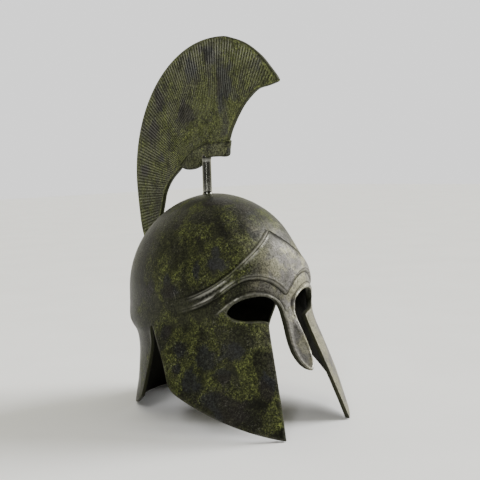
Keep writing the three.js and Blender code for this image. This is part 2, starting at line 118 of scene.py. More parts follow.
# Crest: plume edges by turn about its centre and reach as a share of its radius.
PLUME = {"y": -10.0, "z": 263.0, "radius": 158.2, "thickness": 5.5, "edge": 1.3}
PLUME_FRONT = [(116.5, .350), (117.4, .407), (119.2, .498), (121.9, .604), (126.8, .738),
               (132.1, .820), (135.6, .893)]
PLUME_BROW = [(135.2, .920), (127.9, .934), (120.2, .956), (109.4, .981), (98, 1)]
PLUME_BACK = [(-14.8, 1.012), (-22.9, 1.036), (-31.5, 1.055)]
PLUME_END = (-35.2, 1.010)
PLUME_TAIL = [(-32.9, .930), (-28.7, .829), (-23.8, .753), (-18, .691), (-10.1, .628),
              (-1.8, .542), (7, .445)]
RIBS = {"y": -9.0, "z": 247.0, "per_turn": 235, "depth": 0.62, "border": 2.6, "steps": 8,
        "rows": 22}
PLUME_ROOT = [(51, 278.5), (40, 285), (25, 293), (7, 299), (-30, 301.5)]
HOLDER = {"thickness": 9.0, "floor": 287.0, "edge": 2.2, "groove": 0.35, "groove_at": 2.6}
HOLDER_TOP = [(-34, 305.2), (-20, 305.4), (-5, 305.1), (10.9, 302.9), (27.6, 297.6), (39.6, 291.2),
              (49, 284), (55, 279)]
HOLDER_FOOT = [(-34, 305.2), (-31.5, 296), (-29, 287), (-14, 286.8), (1, 286.4), (9, 284.4),
               (15, 280.4), (23, 275), (34, 272.6), (45, 272.6), (51.5, 275), (55, 279)]
HEEL = {"y": 36.0, "z": 279.0, "long": 13.0, "tall": 7.0, "full": 1.6}
POST = {"radius": 5.3, "y": 8.8, "foot": 5.6, "neck": 1.6, "sides": 48}

# Mesh spacing, in millimetres.
SPACING = {"face": 2.3, "inside": 5.5, "edge": 1.3, "relief": 0.9, "holder": 1.6}
EDGE_ROUND = 0.9
EDGE_SOFT = 0.8
EDGE_ROWS = 7

# The photograph's view: where the camera stands, in metres, and how it is turned, in degrees.
CAMERA = {"at": (-0.59873, -0.70415, 0.28173), "turned": (84.326, 1.721, -42.171), "lens": 60,
          "sensor": 36}

# Studio light: how bright the air is on the near side, behind and where the camera sees it, where
# its bright side lies, and its tint. The key light comes from the wearer's left.
AIR = {"near": 0.13, "behind": 1.2, "seen": 1.35, "toward": (0.72, 0.58, 0.38),
       "tint": (1, 0.98, 0.84)}
KEY = {"toward": (0.9, -0.4, 0.58), "strength": 5.0, "spread": 32}
LAMPS = {"rim_left": {"at": (-0.75, 1.3, 0.3), "aim": (0, 0, 0.2), "size": (0.2, 1.1), "watts": 1},
         "glint_left": {"at": (-1.15, -0.75, 1.25), "aim": (0, 0, 0.2), "size": (0.3, 0.7),
                        "watts": 8},
         "strip_left": {"at": (-1.26, -0.98, 0.28), "aim": (0, 0, 0.28), "size": (0.04, 0.9),
                        "watts": 1.4}}
FLOOR_REACH = 6.0
FLOOR_DROP = 0.0005


# Curves


def blend_in(low, high, value):
    share = np.clip((np.asarray(value, float) - low) / (high - low), 0, 1)
    return share * share * (3 - 2 * share)


def hump(distance, at, width):
    return np.exp(-(((distance - at) / width) ** 2))


def bezier(points, steps=24):
    t = np.linspace(0, 1, steps)[:, None]
    p = np.array(points, float)
    if len(p) == 3:
        return (1 - t) ** 2 * p[0] + 2 * t * (1 - t) * p[1] + t**2 * p[2]
    return ((1 - t) ** 3 * p[0] + 3 * t * (1 - t) ** 2 * p[1]
            + 3 * t**2 * (1 - t) * p[2] + t**3 * p[3])


def spline(points, steps=12):
    p = np.array(points, float)
    rows = []
    for i in range(len(p) - 1):
        a, b = p[i], p[i + 1]
        before = p[i - 1] if i else a
        after = p[i + 2] if i + 2 < len(p) else b
        t = np.linspace(0, 1, steps)[:, None]
        v0, v1 = (b - before) / 2, (after - a) / 2
        rows.append((2 * a - 2 * b + v0 + v1) * t**3 + (3 * b - 3 * a - 2 * v0 - v1) * t**2
                    + v0 * t + a)
    return np.vstack(rows)


def joined(*paths):
    line = np.vstack([np.atleast_2d(np.array(path, float)) for path in paths])
    step = np.linalg.norm(np.diff(line, axis=0), axis=1)
    return line[np.r_[True, step > 1e-6]]


def even(line, step, closed=False):
    if closed:
        line = np.vstack([line, line[:1]])
    run = run_of(line)
    count = max(8, int(round(run[-1] / step)))
    at = np.linspace(0, run[-1], count, endpoint=not closed)
    return np.stack([np.interp(at, run, line[:, k]) for k in range(line.shape[1])], axis=1)


def smoothed(line, sigma):
    """The line's middle, smoothed along its length: it loses int(3 * sigma) + 1 points at each end."""
    reach = int(3 * sigma) + 1
    kernel = np.exp(-0.5 * (np.arange(-reach, reach + 1) / sigma) ** 2)
    kernel /= kernel.sum()
    return np.stack([np.convolve(line[:, k], kernel, "valid") for k in (0, 1)], axis=1)


def rounded(line, pad):
    """A closed line with its corners rounded over about pad points."""
    return smoothed(np.vstack([line[-pad:], line, line[:pad]]), (pad - 1) / 3)


def heading(line):
    """Unit steps along a closed line, at each of its points."""
    step = np.roll(line, -1, axis=0) - np.roll(line, 1, axis=0)
    return step / np.maximum(np.linalg.norm(step, axis=1, keepdims=True), 1e-9)


def run_of(line):
    return np.r_[0, np.cumsum(np.linalg.norm(np.diff(line, axis=0), axis=1))]


def distance_to_line(points, line, closed=True):
    batch = 4000
    a = line
    b = np.roll(line, -1, axis=0) if closed else line[1:]
    a = a[:len(b)]
    span = b - a
    length = np.maximum((span**2).sum(1), 1e-12)
    found = np.empty(len(points))
    for start in range(0, len(points), batch):
        part = points[start:start + batch, None, :]
        share = np.clip(((part - a) * span).sum(2) / length, 0, 1)
        near = a + share[:, :, None] * span
        found[start:start + batch] = np.sqrt(((part - near) ** 2).sum(2).min(1))
    return found


def inside_polygon(points, polygon):
    x, y = points[:, 0], points[:, 1]
    a, b = polygon, np.roll(polygon, -1, axis=0)
    found = np.zeros(len(points), bool)
    for (ax, ay), (bx, by) in zip(a, b):
        if ay == by:
            continue
        crosses = (ay > y) != (by > y)
        found ^= crosses & (x < (bx - ax) * (y - ay) / (by - ay) + ax)
    return found


def filled(line, inner):
    """A flat skin over a closed line and points inside it: its points, its triangles, and for each
    of its points the numbers that it had before, with the line's first."""
    coords = [tuple(c) for c in np.vstack([line, inner])]
    found = delaunay_2d_cdt(coords, [], [list(range(len(line)))], 1, 1e-7)
    return np.array([tuple(v) for v in found[0]]), [tuple(f) for f in found[2]], found[3]


def band(first, second):
    """Faces between two closed rings of point numbers."""
    first, second = np.asarray(first), np.asarray(second)
    return list(zip(first, np.roll(first, -1), np.roll(second, -1), second))


def tube(rings, size):
    """Faces between rings of the same size, whose points follow one another."""
    numbers = np.arange(rings * size).reshape(rings, size)
    return [face for k in range(rings - 1) for face in band(numbers[k], numbers[k + 1])]


# The shell's surface, by turn (0 at the face, pi behind) and drop (0 crown, 1 widest, 2 ground)


def column(table, level, name):
    at, value = np.array(table["level"], float), np.array(table[name], float)
    last = len(at) - 1
    low, high = np.maximum(np.arange(last + 1) - 1, 0), np.minimum(np.arange(last + 1) + 1, last)
    slope = (value[high] - value[low]) / (at[high] - at[low])
    i = np.clip(np.searchsorted(at, level, "right") - 1, 0, last - 1)
    span = at[i + 1] - at[i]
    t = np.clip((level - at[i]) / span, 0, 1)
    return ((2 * t**3 - 3 * t**2 + 1) * value[i] + (t**3 - 2 * t**2 + t) * span * slope[i]
            + (3 * t**2 - 2 * t**3) * value[i + 1] + (t**3 - t**2) * span * slope[i + 1])


def section(drop, grow):
    drop = np.asarray(drop, float)
    rise = np.cos(np.minimum(drop, 1) * math.pi / 2)
    power = BOWL["roundness"]
    shrink = np.maximum(1 - rise**power, 1e-9) ** (1 / power)
    level = np.clip(2 - drop, 0, 1)
    low = drop > 1
    side = BOWL["half_width"] + grow["side"]
    swell_x = (CHEEK["half_width"] - BOWL["half_width"]) * column(FRONT_SECTIONS, level, "width")
    swell_y = (CHEEK["reach"] - BOWL["front"]) * column(FRONT_SECTIONS, level, "reach")
    back_x = BOWL["half_width"] * column(BACK_SECTIONS, level, "width") + grow["side"]
    back_y = BOWL["back"] * column(BACK_SECTIONS, level, "reach") + grow["back"]
    full = column(FRONT_SECTIONS, level, "fullness")
    return {
        "front_x": np.where(low, side + swell_x, side * shrink),
        "back_x": np.where(low, back_x, side * shrink),
        "front": np.where(low, BOWL["front"] + grow["front"] + swell_y,
                          (BOWL["front"] + grow["front"]) * shrink),
        "back": np.where(low, back_y, (BOWL["back"] + grow["back"]) * shrink),
        "fullness": 2 + (BOWL["fullness"] - 2) * np.where(low, full, shrink),
        "z": np.where(low, BOWL["widest"] * (2 - drop),
                      BOWL["widest"] + (BOWL["rise"] + grow["crown"]) * rise),
    }


def shell_point(turn, drop, grow=FACE):
    turn, drop = np.broadcast_arrays(np.asarray(turn, float), np.asarray(drop, float))
    size = section(drop, grow)
    across, along = np.abs(np.sin(turn)), np.cos(turn)
    ahead = along > 0
    power = np.where(ahead, 2 / size["fullness"], 1)
    bent = np.abs((turn + math.pi) % (2 * math.pi) - math.pi)
    to_back = blend_in(math.radians(NOTCH_TURNS[0]), math.radians(NOTCH_TURNS[1]), bent)
    width = size["front_x"] + (size["back_x"] - size["front_x"]) * to_back
    x = np.sign(np.sin(turn)) * width * across**power
    reach = np.where(ahead, -size["front"] * np.abs(along) ** power, size["back"] * -along)
    lean = np.where(ahead, NASAL["bulge"] * np.exp(-((x / NASAL["spread"]) ** 2)), 0)
    hang = np.clip((NASAL["root"] - size["z"]) / (NASAL["root"] - NASAL["tip"]), 0, 1)
    return np.stack([x, BOWL["middle_y"] + reach - lean * hang, size["z"]], axis=-1)


def on_face(line, grow=FACE):
    """Points of the surface for rows of turn and drop."""
    return shell_point(line[:, 0], line[:, 1], grow)


def drop_of(z):
    z = np.asarray(z, float)
    rise = np.clip((z - BOWL["widest"]) / BOWL["rise"], 0, 1)
    return np.where(z > BOWL["widest"], np.arccos(rise) * 2 / math.pi, 2 - z / BOWL["widest"])


def slopes(line):
    """How far the surface moves along the turn and along the drop."""
    step = 1e-4
    turned, dropped = np.array([step, 0]), np.array([0, step])
    around = (on_face(line + turned) - on_face(line - turned)) / (2 * step)
    down = (on_face(line + dropped) - on_face(line - dropped)) / (2 * step)
    return around, down


def outward(line):
    around, down = slopes(line)
    normal = np.cross(down, around)
    return normal / np.maximum(np.linalg.norm(normal, axis=-1, keepdims=True), 1e-9)


def moved(line, step):
    """The line after a step in space along the surface."""
    around, down = slopes(line)
    aa, dd, ad = (around**2).sum(1), (down**2).sum(1), (around * down).sum(1)
    sa, sd = (step * around).sum(1), (step * down).sum(1)
    area = np.maximum(aa * dd - ad**2, 1e-9)
    return line + np.stack([(sa * dd - sd * ad) / area, (sd * aa - sa * ad) / area], axis=1)


def spread_table():
    """For a run of drops: the reach of their rings when the surface is laid flat, and the way down."""
    drop = np.linspace(0.004, 2.06, 1600)
    turn = np.linspace(-math.pi, math.pi, 181)
    ring = shell_point(turn[None, :], drop[:, None])
    girth = np.linalg.norm(np.diff(ring, axis=1), axis=2).sum(1) / (2 * math.pi)
    run = np.linalg.norm(np.diff(shell_point(math.pi / 2, drop), axis=0), axis=1)
    grown = np.r_[0, np.cumsum(run / ((girth[1:] + girth[:-1]) / 2))]
    return drop, np.exp(grown) * girth[0], np.r_[0, np.cumsum(run)]


DROPS, SPREADS, RUNS = spread_table()


def flat_of(line):
    radius = np.interp(line[:, 1], DROPS, SPREADS)
    return np.stack([radius * np.sin(line[:, 0]), -radius * np.cos(line[:, 0])], axis=-1)


def line_of(flat):
    radius = np.linalg.norm(flat, axis=1)
    return np.stack([np.arctan2(flat[:, 0], -flat[:, 1]), np.interp(radius, SPREADS, DROPS)], axis=1)


# Outlines


def front_line(path):
    """Turn and drop of points given in front view (x, z), on the right half."""
    x, z = path[:, 0], path[:, 1]
    drop = drop_of(z)
    size = section(drop, FACE)
    share = np.clip(np.abs(x) / size["front_x"], 0, 1) ** (size["fullness"] / 2)
    return np.stack([np.sign(x) * np.arcsin(share), drop], axis=1)


def side_line(path):
    """Turn and drop of points given in side view (y, z), on the right half."""
    y, z = path[:, 0], path[:, 1]
    drop = drop_of(z)
    size = section(drop, FACE)
    ahead = np.clip((BOWL["middle_y"] - y) / size["front"], 0, 1) ** (size["fullness"] / 2)
    behind = np.clip((y - BOWL["middle_y"]) / size["back"], 0, 1)
    return np.stack([np.arccos(np.where(y < BOWL["middle_y"], ahead, -behind)), drop], axis=1)


def opening_path():
    tip, half, neck = NASAL["tip"], NASAL["half"], NASAL["neck_half"]
    wide, level = NASAL["wide_z"], NASAL["neck_z"]
    top, floor = (EYE["top_x"], EYE["top_z"]), (EYE["floor_x"], EYE["floor_z"])
    outer = (EYE["outer_x"], EYE["outer_z"])
    cheek = (CHEEK["inner_x"], CHEEK["inner_z"])
    return joined(
        bezier([(0, tip), (half / 2, tip + 1), (half, tip + 10), (half, wide)]),
        bezier([(half, wide), (half, wide + 14), (neck, level - 12), (neck, level)]),
        bezier([(neck, level), (neck, level + 14), (top[0] - 17, top[1]), top]),
        bezier([top, (top[0] + 16, top[1]), (outer[0] - 0.5, outer[1] + 9), outer]),
        bezier([outer, (outer[0] - 2, floor[1] + 3), (floor[0] + 12, floor[1]), floor]),
        bezier([floor, (cheek[0] + 6, floor[1]), cheek]),
        np.linspace(cheek, (CHEEK["tip_x"], 0), 60))


def below_path():
    tip, rear = (CHEEK["tip_y"], 0), (CHEEK["rear_y"], CHEEK["rear_z"])
    turn, corner = CHEEK["round"], (NECK["corner_y"], NECK["corner_z"])
    notch, bend = (NECK["notch_y"], NECK["notch_z"]), NECK["notch_round"]
    before = (rear[0] - turn, rear[1] - turn * 0.45)
    after = (rear[0] + turn * 0.8, rear[1] + turn * 0.9)
    up, down = (notch[0] - bend, notch[1] - bend), (notch[0] + bend / 2, notch[1] - bend)
    foot = (corner[0] - NECK["round"] / 2, corner[1] + NECK["round"] / 2)
    past = (corner[0] + NECK["round"], corner[1] - NECK["round"] / 2)
    hem = (NECK["hem_from"], 0)
    return joined(
        bezier([tip, ((tip[0] + rear[0]) / 2, rear[1] / 2 - CHEEK["sag"]), before], 60),
        bezier([before, rear, after]),
        bezier([after, ((rear[0] + notch[0]) / 2 - 6, (rear[1] + notch[1]) / 2 + 2), up], 60),
        bezier([up, (notch[0], notch[1] + bend / 2), down]),
        bezier([down, (notch[0] + 10, (notch[1] + corner[1]) / 2 + 4), foot], 60),
        bezier([foot, corner, past]),
        bezier([past, ((corner[0] + hem[0]) / 2, 0), hem], 40))


def shell_edge():
    """The shell's whole edge, as turn and drop, evenly spaced, from the nasal's tip round."""
    half = np.vstack([front_line(opening_path()), side_line(below_path())])
    hem = np.stack([np.linspace(half[-1, 0], math.pi, 80), np.full(80, 2.0)], axis=1)
    step = 0.4
    half = spaced(np.vstack([half, hem]), step)
    pad = int(3 * EDGE_SOFT / step) + 1
    mirror = np.array([-1, 1])
    past_back = half[-2:-pad - 2:-1] * mirror + np.array([2 * math.pi, 0])
    half = smoothed(np.vstack([half[pad:0:-1] * mirror, half, past_back]), EDGE_SOFT / step)
    half[0, 0], half[-1, 0] = 0, math.pi
    half = spaced(half, SPACING["edge"])
    return np.vstack([half, half[-2:0:-1] * mirror])


def spaced(line, step):
    run = run_of(on_face(line))
    at = np.linspace(0, run[-1], int(round(run[-1] / step)) + 1)
    return np.stack([np.interp(at, run, line[:, 0]), np.interp(at, run, line[:, 1])], axis=1)


def panel_path():
    shoulder, arch, end = PANEL["shoulder"], PANEL["arch"], PANEL["arch_end"]
    top = (PANEL["temple_x"], PANEL["temple_top"])
    foot = (PANEL["temple_x"], PANEL["temple_foot"])
    return joined(
        np.linspace((0, PANEL["peak"]), shoulder, 30),
        bezier([shoulder, ((shoulder[0] + top[0]) / 2, (shoulder[1] + top[1]) / 2 + 2), top], 40),
        np.linspace(top, foot, 12),
        np.linspace(foot, end, 20),
        bezier([end, (arch[0] + 14, arch[1] + 1), arch]),
        bezier([arch, (arch[0] * 0.52, arch[1] + 1), (0, PANEL["valley"])]))


def dish_path():
    rim = DISH_RIM
    half, neck = NASAL["half"] - rim, (NASAL["neck_half"] - rim) * 0.6
    tip, wide, level = NASAL["tip"], NASAL["wide_z"], NASAL["neck_z"]
    return joined(
        bezier([(0, tip + rim), (half / 2, tip + rim + 1), (half, tip + 12), (half, wide)]),
        bezier([(half, wide), (half, wide + 12), (neck, level - 14), (0, level + 2)]))


def lip_path():
    return joined(spline(LIP_LINE), LIP_FOOT)


def both_sides(path):
    return np.vstack([path, path[-2:0:-1] * np.array([-1, 1])])


def on_middle(path):
    """True for the right half of one shape, false for a shape of its own on each side."""
    return path[0][0] == 0


# Patches of patina


def spot(aside, up):
    """Cover of a soft spot, 1 in its middle, for places in shares of its size."""
    return np.exp(-(aside**2 + up**2) * 0.8)


def patch_cover(points, rows):
    """How far each point lies in the patches, from 0 to 1, by turn and height."""
    turn = np.degrees(np.arctan2(np.abs(points[:, 0]), BOWL["middle_y"] - points[:, 1]))
    reach = np.hypot(points[:, 0], points[:, 1] - BOWL["middle_y"])
    left = points[:, 0] > 0
    turn = turn + np.where(left, FAR_SIDE["turn"], 0)
    height = points[:, 2] + np.where(left, FAR_SIDE["lower"], 0)
    spots = [spot(np.radians(turn - at) * reach / width, (height - level) / tall)
             for at, level, width, tall in rows]
    return np.max(spots, axis=0)


def plume_cover(points, rows):
    spots = [spot((points[:, 1] - back) / length, (points[:, 2] - level) / tall)
             for back, level, length, tall in rows]
    return np.max(spots, axis=0)


# Raised work on the shell, as a height out of the face


def signed(points, path):
    """Distance to an outline given in front view, on the surface, more than 0 inside it."""
    outline = path
    if on_middle(path):
        outline = both_sides(path)
    else:
        points = np.column_stack([np.abs(points[:, 0]), points[:, 1:]])
    near = distance_to_line(points, on_face(front_line(even(outline, 1.2, closed=True))))
    ahead = points[:, 1] < BOWL["middle_y"]
    inside = inside_polygon(points[:, [0, 2]], outline) & ahead
    return np.where(inside, near, -near)


def relief(points, edge_gap):
    """Height out of the face, pale share and dark share for points of the outer skin: worn lines that
    are partly painted highlight, and sunk lines that are partly painted shade.
    """
    x, y, z = points.T
    across = np.abs(x)

    def faded(name, value):
        return blend_in(*FADES[name], value)

    def line(name, gap, wide=None):
        at, width = LINES[name]
        return hump(gap, at, wide or width)

    panel, lip, dish = (signed(points, path()) for path in (panel_path, lip_path, dish_path))
    temple = faded("temple", across) * (z < TEMPLE_TOP)
    lip_there = faded("lip", z) * faded("lip_end", across)
    blade = faded("blade", z)
    face_edge = (across < 60) & (z > 60) & (y < -85) & ((across < 13) | (z > 114))

    raised = RELIEF["panel"] * blend_in(*SLOPES["panel"], panel) - RELIEF["moat"] * line("moat", panel)
    raised += RELIEF["bead"] * line("bead", panel) - RELIEF["groove"] * line("groove", panel)
    raised *= 1 - temple
    rim = RELIEF["lip"] * blend_in(*SLOPES["lip"], lip) + RELIEF["lip_bead"] * line("lip_bead", lip)
    raised += (rim - RELIEF["lip_moat"] * line("lip_moat", lip)) * lip_there
    raised -= RELIEF["dish"] * blend_in(*SLOPES["dish"], dish) * blade
    raised += np.where(face_edge, RELIEF["rim"] * line("rim", edge_gap), 0)
    for at, level, wide, tall, move in SETTLE:
        near = np.exp(-(((across - at) / wide) ** 2) - ((z - level) / tall) ** 2)
        raised += move * near * faded("settle", y)

    high, left = faded("high", z), faded("left", x)
    glint_streak = faded("glint_streak", across) * faded("glint_streak_end", across) * (z < GLINT_STREAK_TOP)
    corner = np.maximum(left, faded("corner", across))
    # Pale worn lines on the panel's edge and bead, the lip bead and the face's edge: partly real wear
    # and partly painted highlight, strongest high up on the panel's edge. They are kept off the panel's
    # upper border on the left side, which gets painted shade.
    pale_share = hump(panel, 0.3, 0.9) * (0.3 + 0.7 * high)
    pale_share += (0.2 + 0.45 * high + 0.9 * glint_streak) * line("bead", panel, 0.8)
    pale_share = pale_share * (1 - temple) * (1 - 0.9 * left * high)
    pale_share += (0.3 + 0.6 * corner) * line("lip_bead", lip, 0.8) * lip_there
    pale_share += np.where(face_edge, (0.1 + 0.75 * left) * hump(edge_gap, 1.0, 0.9), 0)

    # Dark lines: patina in the groove and the moat, and painted shade of the panel's step along the
    # inside of its upper border on the left side, high up.
    sunk = 0.6 * line("groove", panel) + 1.4 * hump(panel, 1.2, 2.4) * left * high
    sunk += line("moat", panel, 1.0) * (1.1 - 0.8 * high * (1 - left))
    # Darker inside the panel along the glint streaks.
    sunk += 0.8 * blend_in(3.6, 4.6, panel) * glint_streak
    sunk = sunk * (1 - 0.5 * temple) + 0.9 * line("lip_moat", lip, 1.0) * lip_there
    # Painted shade in the nasal's concave dish.
    sunk += 0.66 * blend_in(0.5, 4, dish) * blade
    return raised, np.clip(pale_share, 0, 1), np.clip(sunk, 0, 1)


def relief_rows():
    """Turns and drops of rows of mesh points on both sides of each outline."""
    rows = []
    for path, offsets in ((panel_path(), PANEL_ROWS), (lip_path(), LIP_ROWS), (dish_path(), DISH_ROWS)):
        line = even(both_sides(path) if on_middle(path) else path, SPACING["relief"] * 1.5, closed=True)
        if not on_middle(path):
            line = np.vstack([line, line * np.array([-1, 1])])
        place = front_line(line)
        aside = np.cross(heading(on_face(place)), outward(place))
        for offset in offsets:
            rows += [moved(place, -aside * offset), moved(place, aside * offset)]
    return np.vstack(rows)


# Shell mesh


def ring_places(spacing):
    """Turns and drops of points in rings over the whole surface, about evenly spaced."""
    count = int(RUNS[-1] / (spacing * 0.87))
    fine = np.linspace(-math.pi, math.pi, 721)
    places = [np.array([[0.0, DROPS[0]]])]
    for k in range(1, count + 1):
        drop = np.interp(k * RUNS[-1] / count, RUNS, DROPS)
        run = run_of(shell_point(fine, drop))
        number = max(6, int(round(run[-1] / spacing)))
        at = (np.arange(number) + 0.5 * (k % 2)) * run[-1] / number
        places.append(np.stack([np.interp(at, run, fine), np.full(number, drop)], axis=1))
    return np.vstack(places)


def thinned(points, cell):
    """Numbers of points of which each cell of space holds one."""
    key = np.floor(points / cell).astype(np.int64)
    return np.sort(np.unique(key, axis=0, return_index=True)[1])


def in_cells(points, size):
    """The numbers of the points in each cell of space."""
    cells = {}
    for i, key in enumerate(map(tuple, np.floor(points / size).astype(int))):
        cells.setdefault(key, []).append(i)
    return cells


def nearest(points, others, reach=6.0):
    """Distance to the nearest of the others, found in cells, or reach if none is near."""
    found = np.full(len(points), reach)
    cells = in_cells(others, reach)
    around = list(itertools.product((-1, 0, 1), repeat=3))
    for (a, b, c), members in in_cells(points, reach).items():
        near = [i for u, v, w in around for i in cells.get((a + u, b + v, c + w), ())]
        if near:
            gap = np.linalg.norm(points[members][:, None] - others[near][None], axis=2)
            found[members] = np.minimum(found[members], gap.min(1))
    return found


def skin(edge, spacing, rows=None):
    """Turns and drops of a skin inside the edge, its triangles, and the numbers of its rim."""
    rim = flat_of(edge)
    places = ring_places(spacing)
    if rows is not None:
        rows = rows[thinned(on_face(rows), SPACING["relief"] * 0.7)]
        far = nearest(on_face(places), on_face(rows)) > spacing * 0.55
        places = np.vstack([rows, places[far]])
    flat = flat_of(places)
    keep = inside_polygon(flat, rim)
    keep[keep] = distance_to_line(on_face(places[keep]), on_face(edge)) > SPACING["edge"] * 0.75
    flat, faces, olds = filled(rim, flat[keep])
    order = {old: i for i, ids in enumerate(olds) for old in ids}
    return line_of(flat), faces, np.array([order[i] for i in range(len(rim))])


def edge_out(edge):
    """Unit steps out of the shell's edge, along its surface."""
    out = np.cross(heading(on_face(edge)), outward(edge))
    hem = np.argmax(edge[:, 1] + np.abs(edge[:, 0]) / 10)
    return out if out[hem, 2] < 0 else -out


def edge_round(outer, inner, out):
    """Rows of points round the edge, from the outer rim to the inner one."""
    rows = []
    for k in range(1, EDGE_ROWS):
        angle = math.pi * k / EDGE_ROWS
        across = (1 - math.copysign(abs(math.cos(angle)) ** 0.6, math.cos(angle))) / 2
        bulge = math.sin(angle) ** 0.6
        rows.append(outer * (1 - across) + inner * across + out * EDGE_ROUND * bulge)
    return rows


def helmet_shell():
    edge = shell_edge()
    out = edge_out(edge)
    inset = moved(edge, -out * EDGE_ROUND)
    places, faces, rim = skin(inset, SPACING["face"], relief_rows())
    face = on_face(places)
    height, worn, sunk = relief(face, distance_to_line(face, face[rim]))
    face += outward(places) * height[:, None]
    places, inner_faces, inner_rim = skin(inset, SPACING["inside"])
    inner = on_face(places, WALL)
    nose = np.exp(-((inner[:, 0] / 18) ** 2)) * blend_in(*FADES["nose"], inner[:, 2])
    inner[:, 1] += NASAL["thicker"] * nose * (inner[:, 1] < 0)

    points = np.vstack([face, *edge_round(face[rim], inner[inner_rim], out), inner])
    start, size = len(face), len(rim)
    past = start + (EDGE_ROWS - 1) * size
    rows = list(np.arange(start, past).reshape(-1, size))
    bands = [rim, *rows, inner_rim + past]
    faces += [quad for upper, lower in zip(bands[:-1], bands[1:]) for quad in band(upper, lower)]
    faces += [tuple(i + past for i in triangle) for triangle in inner_faces]
    body = mesh_piece("shell_surface", points, faces)

    share = {name: np.zeros(len(points)) for name in ("worn", "sunk", "dark", "cut")}
    share["worn"][:start], share["sunk"][:start] = worn, sunk
    share["worn"][rim] = np.maximum(worn[rim], 0.1)
    share["cut"][start:past] = 1
    share["cut"][rows[0]] = 0.7
    for k, row in enumerate(rows, start=1):
        share["dark"][row] = 0.6 * blend_in(3, EDGE_ROWS - 1, k)
    share["dark"][past:] = 1
    green = patch_cover(points, GREEN_PATCHES) - patch_cover(points, BLACK_PATCHES)
    store(body, **share, green=green, dusk=patch_cover(points, DUSK_PATCHES))
    return body


# Making a piece


def mesh_piece(name, points, faces):
    mesh = bpy.data.meshes.new(name)
    placed = (np.asarray(points) + np.array([0, SHIFT, 0])) * METRE
    mesh.from_pydata(placed.tolist(), [], [tuple(int(i) for i in f) for f in faces])
    mesh.validate()
    work = bmesh.new()
    work.from_mesh(mesh)
    bmesh.ops.recalc_face_normals(work, faces=work.faces)
    work.to_mesh(mesh)
    work.free()
    mesh.polygons.foreach_set("use_smooth", [True] * len(mesh.polygons))
    body = bpy.data.objects.new(name, mesh)
    bpy.context.scene.collection.objects.link(body)
    return body


def store(body, **values):
    for name, value in values.items():
        attribute = body.data.attributes.new(name, "FLOAT", "POINT")
        attribute.data.foreach_set("value", np.full(len(attribute.data), value, np.float32))


# Crest


def crest_point(row):
    angle = math.radians(row[0])
    reach = PLUME["radius"] * row[1]
    return (PLUME["y"] + reach * math.cos(angle), PLUME["z"] + reach * math.sin(angle))


def crest_line(rows):
    return [crest_point(row) for row in rows]


def plume_path():
    front = spline(crest_line(PLUME_FRONT))
    brow = spline([front[-1], *crest_line(PLUME_BROW)])
    arc = crest_line([(turn, 1) for turn in np.linspace(98, -7.4, 90)])
    back = spline([arc[-1], *crest_line(PLUME_BACK)])
    tail = crest_line(PLUME_TAIL)
    end = bezier([back[-1], crest_point(PLUME_END), tail[0]], 16)
    line = joined(front, brow, arc, back, end, spline(tail), PLUME_ROOT)
    return rounded(even(line, 0.5, closed=True), 12)


def plume_spans(line):
    """For turns about the ribs' centre, the reach of the plume's inner and outer edges."""
    centre = np.array([RIBS["y"], RIBS["z"]])
    about = line - centre
    angle = np.unwrap(np.arctan2(about[:, 1], about[:, 0]))
    reach = np.linalg.norm(about, axis=1)
    low, high = np.argmin(angle), np.argmax(angle)
    if low < high:
        first, second = np.arange(low, high + 1), np.r_[high:len(line), 0:low + 1]
    else:
        first, second = np.r_[low:len(line), 0:high + 1], np.arange(high, low + 1)
    sides = [first, second[::-1]]
    if reach[sides[0]].mean() > reach[sides[1]].mean():
        sides.reverse()
    step = 2 * math.pi / RIBS["per_turn"] / RIBS["steps"]
    at = np.arange(angle[low] + step, angle[high] - step, step)
    spans = [np.interp(at, np.maximum.accumulate(angle[side]), reach[side]) for side in sides]
    return at, spans[0], spans[1]


def rib_loop(low, high, share, turns):
    """Reach and depth of the points round one rib, out along one face and back along the other."""
    half, edge = PLUME["thickness"] / 2, PLUME["edge"]
    run = low + edge + share * (high - low - 2 * edge)
    flat = np.full(len(run), half)
    reach = np.r_[run, high - edge + edge * np.sin(turns), run[::-1], low + edge - edge * np.sin(turns)]
    return reach, np.r_[flat, half * np.cos(turns), -flat, -half * np.cos(turns)]


